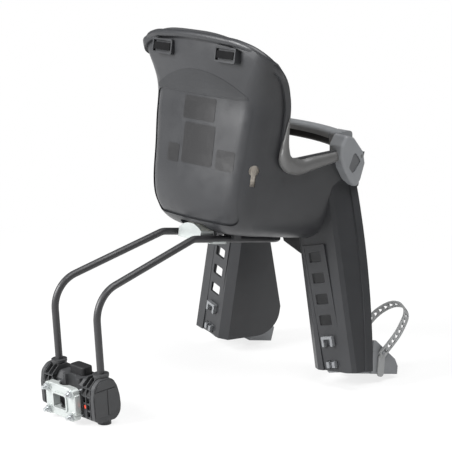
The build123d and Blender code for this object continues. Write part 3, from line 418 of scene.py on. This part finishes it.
# The finishes, named for the record's slots or for the forms that alone wear them
finishes = {
    "shell_black": moulded("shell_black", (0.030, 0.031, 0.0335), 0.38, 1100, 0.00008, level=0.42),
    # Lighter copy of the shell's black, a painted highlight for the arm rolls
    "rim_painted_highlight": moulded("rim_painted_highlight", (0.105, 0.105, 0.104), 0.36, 1100, 0.00006),
    "grey_plastic": moulded("grey_plastic", (0.195, 0.202, 0.211), 0.46, 1100, 0.00010),
    "bar_button_grey": moulded("bar_button_grey", (0.085, 0.088, 0.093), 0.42, 1100, 0.00010),
    "strap_grey": moulded("strap_grey", (0.30, 0.306, 0.308), 0.5, 700, 0.00008),
    "rod_black": moulded("rod_black", (0.030, 0.030, 0.032), 0.42, 1600, 0.00004),
    "zinc": moulded("zinc", (0.50, 0.53, 0.52), 0.36, 420, 0.00006, 0.08, 0.08, metal=0.5),
    "steel": moulded("steel", (0.50, 0.52, 0.53), 0.34, 900, 0.00003, 0.1, 0.08, metal=0.7),
    "block_black": moulded("block_black", (0.040, 0.041, 0.043), 0.48, 1100, 0.00008, level=0.4),
    "button_black": moulded("button_black", (0.014, 0.014, 0.015), 0.55, 1300, 0.00006, level=0.25),
    "flag_red": moulded("flag_red", (0.62, 0.055, 0.025), 0.22, 900, 0.00003, 0.06),
    # Near-black finish that paints the shade inside the collars' pockets
    "pocket_painted_shade": moulded("pocket_painted_shade", (0.006, 0.006, 0.0065), 0.75, 900, 0.00004, level=0.1),
    # Darker, duller, coarser-grained copy of the shell's black; the darker tone is painted shade
    "crescent_grain_and_shade": moulded("crescent_grain_and_shade", (0.027, 0.028, 0.030), 0.5, 420, 0.00022, level=0.3),
    "film_black": moulded("film_black", (0.022, 0.022, 0.023), 0.3, 900, 0.00001, 0.03, 0.01),
    "liner_rubber": moulded("liner_rubber", (0.02, 0.02, 0.02), 0.7, 600, 0.00012),
    "pad_cream": woven("pad_cream", (0.66, 0.60, 0.52), 260, 0.0003, "Object"),
    "webbing_black": woven("webbing_black", (0.018, 0.018, 0.020), 300, 0.0003, "UV", math.radians(45)),
}

# Solids in the collars' pockets, painted near-black as shade
painted_shade_in_pockets = ("strap_anchor_left", "strap_anchor_right")


def dress_solids():
    """Give every solid its finish; the bars in the collars' pockets get the darkest black, as painted
    shade.
    """
    for row in frame["record"]["subparts"]:
        solid = nodes[row["node"]]
        finish = "pocket_painted_shade" if row["node"] in painted_shade_in_pockets else row["material_slot"]
        solid.data.materials.clear()
        solid.data.materials.append(finishes[finish])


# Forms that lie over the solids: blank films, a crescent of painted shade, rolled edges (the arm rolls
# lighter as a painted highlight) and the block's ribs with painted shade in their cells

films = (  # from and to across, from and to up, in the seat's frame
    ((-0.030, 0.0465), (0.428, 0.466)),
    ((-0.023, 0.051), (0.355, 0.422)),
    ((-0.063, -0.0315), (0.353, 0.383)),
    ((0.0595, 0.0965), (0.353, 0.386)),
)
film_round = 0.004
film_round_steps = 4
film_cells = 10
film_thick = 0.0004
film_from = -0.4  # a place behind the back, from which the films are laid on it


def shell_surface():
    """The seat shell's surface, for laying forms on it."""
    shape = bmesh.new()
    shape.from_mesh(nodes["seat_shell"].data)
    surface = BVHTree.FromBMesh(shape)
    shape.free()
    return surface


def lay_film(name, shape, surface, finish):
    """Lay a flat form, drawn behind the back, on the shell as a thin film."""
    ahead = seat_frame.to_3x3() @ Vector((0, 1, 0))
    bmesh.ops.transform(shape, matrix=seat_frame, verts=shape.verts)
    for vert in shape.verts:
        vert.co = surface.ray_cast(vert.co, ahead)[0] - ahead * film_thick
    bmesh.ops.recalc_face_normals(shape, faces=shape.faces)
    bmesh.ops.solidify(shape, geom=shape.faces[:], thickness=film_thick / 2)
    film = piece(name, shape, finishes[finish])
    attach(film, "seat")


def add_films(surface):
    """Blank films on the back."""
    shape = bmesh.new()
    for (left, right), (low, high) in films:
        made = bmesh.ops.create_grid(shape, x_segments=film_cells, y_segments=film_cells, size=0.5)["verts"]
        bmesh.ops.rotate(shape, verts=made, matrix=Matrix.Rotation(math.radians(90), 3, "X"))
        bmesh.ops.scale(shape, vec=(right - left, 1, high - low), verts=made)
        bmesh.ops.translate(shape, vec=((left + right) / 2, film_from, (low + high) / 2), verts=made)
    corners = [vert for vert in shape.verts if len(vert.link_edges) == 2]
    bevel(shape, corners, film_round, film_round_steps, "VERTICES")
    lay_film("label_films", shape, surface, "film_black")


crescent_half = 0.113
crescent_low = 0.4712
crescent_ends = 0.476  # height of its top edge at both ends
crescent_rise = 0.034
crescent_cells = (40, 8)


def add_crescent(surface):
    """Grained crescent above the back's field, darker and duller than the shell as painted shade."""
    shape = bmesh.new()
    columns, rows = crescent_cells
    bmesh.ops.create_grid(shape, x_segments=columns, y_segments=rows, size=0.5)
    for vert in shape.verts:
        across = 2 * vert.co.x
        high = crescent_ends + crescent_rise * (1 - across**2)
        up = crescent_low + (high - crescent_low) * (vert.co.y + 0.5)
        vert.co = (across * crescent_half, film_from, up)
    lay_film("back_crescent", shape, surface, "crescent_grain_and_shade")


roll_radius = 0.0115
roll_fineness = 8
roll_out = 0.001  # how far the middle of the roll lies outside the wall
roll_path = (  # ahead, up and share of the radius, in the seat's frame
    (-0.1530, 0.450, 0.05),
    (-0.1525, 0.425, 0.30),
    (-0.1515, 0.402, 0.60),
    (-0.1450, 0.3800, 1.05),
    (-0.1190, 0.3715, 1.25),
    (-0.0900, 0.3786, 1.10),
    (-0.0600, 0.3870, 0.95),
    (-0.0300, 0.3945, 0.85),
    (0.0050, 0.3960, 0.75),
)
roll_from = 0.4  # a distance outside the shell, from which the roll's edge is found


def add_roll(name, knots, finish):
    """A round roll through knots, each with its share of the radius."""
    path = smooth_path(name, knots)
    path.data.bevel_depth = roll_radius
    path.data.bevel_resolution = roll_fineness
    path.data.use_fill_caps = True
    mesh = finished_mesh(path)
    bpy.data.objects.remove(path)
    shape = bmesh.new()
    shape.from_mesh(mesh)
    bpy.data.meshes.remove(mesh)
    roll = piece(name, shape, finishes[finish])
    roll.data.shade_smooth()
    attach(roll, "seat")


def add_arm_roll(side, name, surface):
    """Rolled edge along the top of one armrest, up into the wing, lighter than the shell as a painted
    highlight.
    """
    inward = Vector((-side, 0, 0))
    knots = []
    for y, z, share in roll_path:
        start = seat_frame @ Vector((side * roll_from, y, z))
        knots.append((surface.ray_cast(start, inward)[0] - inward * roll_out, share))
    add_roll(name, knots, "rim_painted_highlight")


hood_foot = Vector((0, -0.172, 0.510))  # a point of the rim's plane, midway between the wings
hood_rise = Vector((0, -0.776, 0.631))  # the way the rim's plane climbs from the wings to the crown
hood_behind = 0.0055  # how far the roll's middle lies behind the rim
hood_sunk = 0.0038  # how far it lies under the shell's face
hood_share = 0.56  # share of the roll's radius
hood_steps = 14


def add_hood_roll(surface):
    """Rolled edge over the hood, from wing to wing."""
    across = Vector((1, 0, 0))
    middle = hood_foot + across.cross(hood_rise) * hood_behind
    turn = seat_frame.to_3x3()
    knots = []
    for step in range(hood_steps + 1):
        angle = math.pi * step / hood_steps
        out = across * math.cos(angle) + hood_rise * math.sin(angle)
        start = seat_frame @ (middle + out * roll_from)
        edge = surface.ray_cast(start, turn @ -out)[0]
        share = hood_share if 0 < step < hood_steps else hood_share / 2
        knots.append((edge - turn @ out * hood_sunk, share))
    add_roll("hood_roll", knots, "shell_black")


block_lean = math.radians(4.0)
block_back = 0.3994  # from the leg guards' rear faces back to the block
block_frame = Matrix.Translation((0, leg_rear - block_back, 0)) @ Matrix.Rotation(block_lean, 4, "X")
cheek_round = 0.004
plate_round_steps = 3
cheek_outline = (  # ahead and up, in the block's frame
    (-0.0290, 0.0140),
    (-0.0295, 0.0500),
    (-0.0260, 0.0690),
    (-0.0150, 0.0785),
    (0.0030, 0.0800),
    (0.0125, 0.0745),
    (0.0190, 0.0625),
    (0.0230, 0.0460),
    (0.0240, 0.0280),
    (0.0220, 0.0180),
    (0.0140, 0.0090),
    (-0.0180, 0.0085),
)
cover_span = (0.0625, 0.0702)
rib_xs = (0.0392, 0.0492, 0.0592)
rib_thick = 0.0014
rib_round = 0.0002
rib_outline = cheek_outline[:6] + ((0.0, 0.060), (-0.0180, 0.0140))
panel_out = 0.0714
panel_sunk = 0.0004
panel_round = 0.0006
panel_outlines = (
    ((-0.0240, 0.0625), (-0.0165, 0.0755), (0.0020, 0.0772), (0.0105, 0.0720), (0.0150, 0.0625)),
    ((-0.0270, 0.0190), (-0.0272, 0.0605), (-0.0030, 0.0605), (-0.0030, 0.0170)),
    ((-0.0012, 0.0170), (-0.0012, 0.0605), (0.0170, 0.0605), (0.0208, 0.0450), (0.0215, 0.0240)),
)
cross_ribs = ((-0.0215, 0.0640), (-0.0240, 0.0520))  # ahead and up of the bars between the ribs
cross_deep = 0.012
# Near-black sheets on the slope between the ribs, painted shade in the cells
cell_shade_outline = (
    (-0.0283, 0.0517),
    (-0.0287, 0.0512),
    (-0.0287, 0.0530),
    (-0.0127, 0.0729),
    (-0.0120, 0.0725),
)
cell_shade_round = 0.00005


def add_plate(shape, outline, near, far, rounding, sides_round=False):
    """A plate on edge, pulled across the block, with its outer face's rim or its sides' edges rounded."""
    outer = pull(shape, [(near, y, z) for y, z in outline], (far - near, 0, 0))
    ends_outside = 1 if sides_round else 2
    picked = [edge for edge in shape.edges if sum(vert in outer for vert in edge.verts) == ends_outside]
    bevel(shape, picked, rounding, plate_round_steps)


def add_cheek(side, name):
    """Rounded side cover of the block with its three panels, and the ribs behind it, with near-black sheets
    painted as shade in the cells between the ribs.
    """
    shape = bmesh.new()
    add_plate(shape, cheek_outline, *cover_span, cheek_round, sides_round=True)
    for outline in panel_outlines:
        add_plate(shape, outline, cover_span[1] - panel_sunk, panel_out, panel_round)
    for x in rib_xs:
        add_plate(shape, rib_outline, x, x + rib_thick, rib_round)
    for y, z in cross_ribs:
        rear, front, top = y - cross_deep / 2, y + cross_deep / 2, z + rib_thick
        bar = ((rear, z), (rear, top), (front, top), (front, z))
        add_plate(shape, bar, rib_xs[0], cover_span[0], rib_round)
    finish_block_piece(name + "_cover", shape, side, "block_black")
    shape = bmesh.new()
    # Near-black sheet between the ribs as painted shade in the cells
    add_plate(shape, cell_shade_outline, rib_xs[0], cover_span[0], cell_shade_round)
    finish_block_piece(name + "_cells", shape, side, "button_black")


def finish_block_piece(name, shape, side, slot):
    """Put a form of the block's right side in its place, on either side."""
    bmesh.ops.scale(shape, vec=(side, 1, 1), verts=shape.verts)
    bmesh.ops.transform(shape, matrix=block_frame, verts=shape.verts)
    bmesh.ops.recalc_face_normals(shape, faces=shape.faces)
    made = piece(name, shape, finishes[slot])
    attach(made, "seat")


# Harness webbing, in the seat's frame

webbing_wide = 0.025
webbing_thick = 0.002
webbing_bend = 0.008
webbing_bend_steps = 5
collar_x, collar_up = 0.079, 0.540
collar_rear = -0.244
strap_lean = math.radians(6.1)
strap_face = -0.1991
strap_bend_up = 0.326
strap_flat = (-0.157, -0.126)
pad_up = 0.264
strap_clear = 0.0016
strap_lie = pad_up + strap_clear + webbing_wide / 2 * math.sin(strap_lean)
buckle_y = -0.125
buckle_side = 0.021
crotch_y = -0.080
crotch_low = 0.2436
crotch_up = 0.271
crotch_end = -0.109


def add_strip(shape, points, half):
    """A flat strip along points of the seat's frame, as wide as twice the half, with rounded bends."""
    layer = shape.loops.layers.uv.verify()
    edge = shape.edges.new([shape.verts.new(points[0] - half), shape.verts.new(points[0] + half)])
    run = 0.0
    bends = []
    for before, after in zip(points, points[1:]):
        ends = set(edge.verts)
        grown = bmesh.ops.extrude_edge_only(shape, edges=[edge])["geom"]
        verts = [item for item in grown if isinstance(item, bmesh.types.BMVert)]
        bmesh.ops.translate(shape, verts=verts, vec=after - before)
        face = next(item for item in grown if isinstance(item, bmesh.types.BMFace))
        edge = next(item for item in face.edges if set(item.verts) == set(verts))
        step = (after - before).length
        for corner in face.loops:
            along = run if corner.vert in ends else run + step
            across = (corner.vert.co - (before if corner.vert in ends else after)).dot(half.normalized())
            corner[layer].uv = (across, along)
        run += step
        bends.append(edge)
    bevel(shape, bends[:-1], webbing_bend, webbing_bend_steps)


def webbing(name, shape, node):
    """Finish strips as woven webbing that stands for a solid strap."""
    bmesh.ops.transform(shape, matrix=seat_frame, verts=shape.verts)
    bmesh.ops.recalc_face_normals(shape, faces=shape.faces)
    strap = piece(name, shape, finishes["webbing_black"])
    body = strap.modifiers.new("body", "SOLIDIFY")
    body.thickness = webbing_thick
    body.offset = 0
    strap.data.shade_smooth()
    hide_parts(node)
    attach(strap, "seat")


def add_shoulder_strap(side, name):
    """Webbing from one collar down the backrest, forward on the seat and in to the buckle."""
    slant = Matrix.Rotation(side * strap_lean, 3, "Y")
    across = slant @ Vector((webbing_wide / 2, 0, 0))
    down = slant @ Vector((0, 0, -1))
    top = Vector((side * collar_x, 0, collar_up))
    bend = (collar_up - strap_bend_up) / math.cos(strap_lean)
    end = (collar_up - strap_lie) / math.cos(strap_lean)

    def at(y, drop):
        return top + Vector((0, y, 0)) + down * drop

    shape = bmesh.new()
    fall = [
        at(collar_rear, 0),
        at(strap_face, 0),
        at(strap_face, bend),
        at(strap_flat[0], end),
        at(strap_flat[1], end),
    ]
    add_strip(shape, fall, across)
    outer = at(strap_flat[1], end).x
    run = [
        Vector((outer, strap_flat[1] - webbing_wide / 2, strap_lie + webbing_thick)),
        Vector((side * buckle_side, buckle_y, strap_lie + webbing_thick)),
    ]
    add_strip(shape, run, Vector((0, webbing_wide / 2, 0)))
    webbing(name + "_webbing", shape, name)


def add_crotch_strap():
    """Webbing up through the pan and back to the buckle."""
    shape = bmesh.new()
    rise = [
        Vector((0, crotch_y, crotch_low)),
        Vector((0, crotch_y, crotch_up)),
        Vector((0, crotch_end, crotch_up)),
    ]
    add_strip(shape, rise, Vector((webbing_wide / 2, 0, 0)))
    webbing("crotch_webbing", shape, "crotch_strap")


anchor_size = (0.040, 0.012, 0.0025)
anchor_round = anchor_size[2] / 4
anchor_round_steps = 2


def add_crotch_anchor():
    """Plate under the pan that keeps the crotch strap from pulling through."""
    shape = bmesh.new()
    bmesh.ops.create_cube(shape, size=1)
    bmesh.ops.scale(shape, vec=anchor_size, verts=shape.verts)
    bmesh.ops.translate(shape, vec=(0, crotch_y, crotch_low + anchor_size[2] / 2), verts=shape.verts)
    bevel(shape, shape.edges[:], anchor_round, anchor_round_steps)
    bmesh.ops.transform(shape, matrix=seat_frame, verts=shape.verts)
    plate = piece("crotch_anchor", shape, finishes["button_black"])
    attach(plate, "seat")


# Foot straps, punched flat and then bent round the foot

loop_at = Vector((0, leg_rear + 0.096, 0.050))
loop_rise = {1: math.radians(43.8), -1: math.radians(70)}  # the left strap stands steeper
loop_bends = (
    (0.1150, -0.0065),
    (0.1165, 0.0400),
    (0.1290, 0.0800),
    (0.1530, 0.0965),
    (0.1790, 0.0880),
    (0.1912, 0.0580),
    (0.1886, -0.0065),
)
band_wide = 0.016
band_thick = 0.0025
band_rows = 46
band_columns = 4
band_plain = 4  # inner cells that stay whole at each end, at the least
hole_point = 0.0030  # how far each punched arrow points forward
cup_corner = Vector((0.122, leg_rear + 0.122, 0))
cup_tilt = math.radians(6.3)
cup_dip = math.radians(11.5)
path_fineness = 24
tab_size = (0.0025, 0.015, 0.040)
tab_round = 0.45 * tab_size[1]
tab_round_steps = 6
tab_place = (0.0700, -0.0354, 0.0155)


def loop_frame(side):
    """Turns the flat plan of the loop onto its slanting plane."""
    rise = Matrix.Rotation(loop_rise[side], 4, "X")
    return Matrix.Translation(loop_at) @ rise


def cup_frame():
    """Frame of the right foot cup, on the cup's lower corner."""
    across = Vector((math.cos(cup_tilt), 0, math.sin(cup_tilt)))
    up = across.cross(Vector((0, math.cos(cup_dip), -math.sin(cup_dip)))).normalized()
    forward = up.cross(across)
    turn = Matrix((across, forward, up)).transposed().to_4x4()
    return Matrix.Translation(cup_corner) @ turn


def add_loop_path():
    """Path of the strap in its own flat plan, with its length."""
    path = smooth_path("strap_path", [((x, y, 0), 1) for x, y in loop_bends])
    path.data.twist_mode = "Z_UP"
    path.data.resolution_u = path_fineness
    return path, path.data.splines[0].calc_length()


def punched_band(length):
    """A flat strap on edge with a row of arrow-shaped holes."""
    shape = bmesh.new()
    bmesh.ops.create_grid(shape, x_segments=band_rows, y_segments=band_columns, size=0.5)
    cell = 1 / band_columns
    middle = [vert for vert in shape.verts if abs(vert.co.y) < cell / 2]
    rows = sorted(shape.faces, key=lambda face: face.calc_center_median().x)
    inner = [face for face in rows if abs(face.calc_center_median().y) < cell]
    holed = range(band_plain + 1, len(inner) - band_plain)
    punched = [inner[number] for number in holed if number // 2 % 2]
    bmesh.ops.delete(shape, geom=punched, context="FACES")
    bmesh.ops.translate(shape, verts=shape.verts, vec=(0.5, 0, 0))
    bmesh.ops.scale(shape, vec=(length, band_wide, 1), verts=shape.verts)
    bmesh.ops.translate(shape, verts=middle, vec=(hole_point, 0, 0))
    bmesh.ops.rotate(shape, verts=shape.verts, matrix=Matrix.Rotation(math.radians(90), 3, "X"))
    return shape


def add_foot_strap(side, node):
    """One punched strap with the rounded tab that buttons it to the foot cup."""
    path, length = add_loop_path()
    band = piece(node + "_band", punched_band(length), finishes["strap_grey"])
    body = band.modifiers.new("body", "SOLIDIFY")
    body.thickness = band_thick
    body.offset = 0
    bend = band.modifiers.new("bend", "CURVE")
    bend.object = path
    bend.deform_axis = "POS_X"
    bent = finished_mesh(band)
    band.modifiers.clear()
    shape = bmesh.new()
    shape.from_mesh(bent)
    bpy.data.meshes.remove(bent)
    bpy.data.objects.remove(path)
    bmesh.ops.transform(shape, matrix=loop_frame(side), verts=shape.verts)
    tab = bmesh.ops.create_cube(shape, size=1)["verts"]
    bmesh.ops.scale(shape, vec=tab_size, verts=tab)
    edges = {edge for vert in tab for edge in vert.link_edges}
    through = [edge for edge in edges if abs(edge.verts[0].co.x - edge.verts[1].co.x) > tab_size[0] / 2]
    rounded = bevel(shape, through, tab_round, tab_round_steps)["verts"]
    place = cup_frame() @ Matrix.Translation(tab_place)
    tab_verts = set(rounded) | {vert for vert in tab if vert.is_valid}
    bmesh.ops.transform(shape, matrix=place, verts=list(tab_verts))
    if side < 0:
        bmesh.ops.scale(shape, vec=(-1, 1, 1), verts=shape.verts)
    bmesh.ops.recalc_face_normals(shape, faces=shape.faces)
    shape.to_mesh(band.data)
    shape.free()
    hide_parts(node)
    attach(band, "seat")


# Webs between the pan's front and the leg guards

web_outline = ((0.024, 0.243), (0.029, 0.231), (0.0795, 0.2135), (0.0795, 0.243))
web_rear = leg_rear + 0.0115
web_thick = 0.003


def add_pan_web(side, name):
    """Thin web in the corner under one side of the pan's front, in the darkest black as painted shade."""
    shape = bmesh.new()
    pull(shape, [(side * x, web_rear, z) for x, z in web_outline], (0, web_thick, 0))
    bmesh.ops.recalc_face_normals(shape, faces=shape.faces)
    # The darkest black stands for the shade under the pan
    web = piece(name, shape, finishes["button_black"])
    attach(web, "seat")


# Seat pad

pad_merge = 1e-5
pad_inset = 0.0035
pad_voxel = 0.005
pad_swell = 0.004
pad_pressure = 4.0
pad_frames = 20
channel_xs = (-0.066, -0.022, 0.022, 0.066)
channel_half = 0.0045
channel_deep = 0.0035
channel_facing = 0.6  # how far a face has to look up and forward to be sewn


def swell(pad):
    """Blow the pad up a little inside its cover, each point by no more than the set swell."""
    rest = [vert.co.copy() for vert in pad.data.vertices]
    cloth = pad.modifiers.new("swell", "CLOTH")
    cloth.settings.use_pressure = True
    cloth.settings.uniform_pressure_force = pad_pressure
    cloth.settings.effector_weights.gravity = 0
    for step in range(1, pad_frames + 1):
        scene.frame_set(step)
    grown = pad.evaluated_get(bpy.context.evaluated_depsgraph_get())
    for vert, start, moved in zip(pad.data.vertices, rest, grown.data.vertices):
        way = moved.co - start
        if way.length > pad_swell:
            way = way.normalized() * pad_swell
        vert.co = start + way
    pad.modifiers.remove(cloth)
    scene.frame_set(1)


def sew_channels(pad):
    """Press the sewn channels into the side that the child leans on."""
    shape = bmesh.new()
    shape.from_mesh(pad.data)
    shape.normal_update()
    to_seat = seat_frame.inverted()
    for vert in shape.verts:
        face = to_seat.to_3x3() @ vert.normal
        if face.y + face.z < channel_facing:
            continue
        x = (to_seat @ vert.co).x
        near = min(abs(x - line) for line in channel_xs)
        vert.co -= vert.normal * channel_deep * math.exp(-((near / channel_half) ** 2))
    shape.to_mesh(pad.data)
    shape.free()


def add_pad():
    """Sewn pad, a little smaller than its solid before it is blown up."""
    shape = bmesh.new()
    shape.from_mesh(nodes["seat_pad"].data)
    bmesh.ops.remove_doubles(shape, verts=shape.verts, dist=pad_merge)
    shape.normal_update()
    for vert in shape.verts:
        vert.co -= vert.normal * pad_inset
    pad = piece("pad", shape, finishes["pad_cream"])
    even = pad.modifiers.new("even", "REMESH")
    even.mode = "VOXEL"
    even.voxel_size = pad_voxel
    mesh = finished_mesh(pad)
    pad.modifiers.clear()
    pad.data = mesh
    swell(pad)
    sew_channels(pad)
    pad.data.shade_smooth()
    fine = pad.modifiers.new("fine", "SUBSURF")
    fine.levels = fine.render_levels = 1
    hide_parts("seat_pad")
    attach(pad, "seat")


# The whole scene

dress_solids()
shell = shell_surface()
add_films(shell)
add_crescent(shell)
add_hood_roll(shell)
add_arm_roll(1, "arm_roll_right", shell)
add_arm_roll(-1, "arm_roll_left", shell)
add_cheek(1, "cheek_right")
add_cheek(-1, "cheek_left")
add_shoulder_strap(1, "shoulder_strap_right")
add_shoulder_strap(-1, "shoulder_strap_left")
add_crotch_strap()
add_crotch_anchor()
add_foot_strap(1, "foot_strap_right")
add_foot_strap(-1, "foot_strap_left")
add_pan_web(1, "pan_web_right")
add_pan_web(-1, "pan_web_left")
add_pad()
add_camera()
add_floor()
add_world(world_strength)
add_softbox("key", key_at, key_target, lamp_size, key_power)
add_softbox("top", top_at, top_target, lamp_size, top_power)
scene.view_settings.view_transform = "Standard"
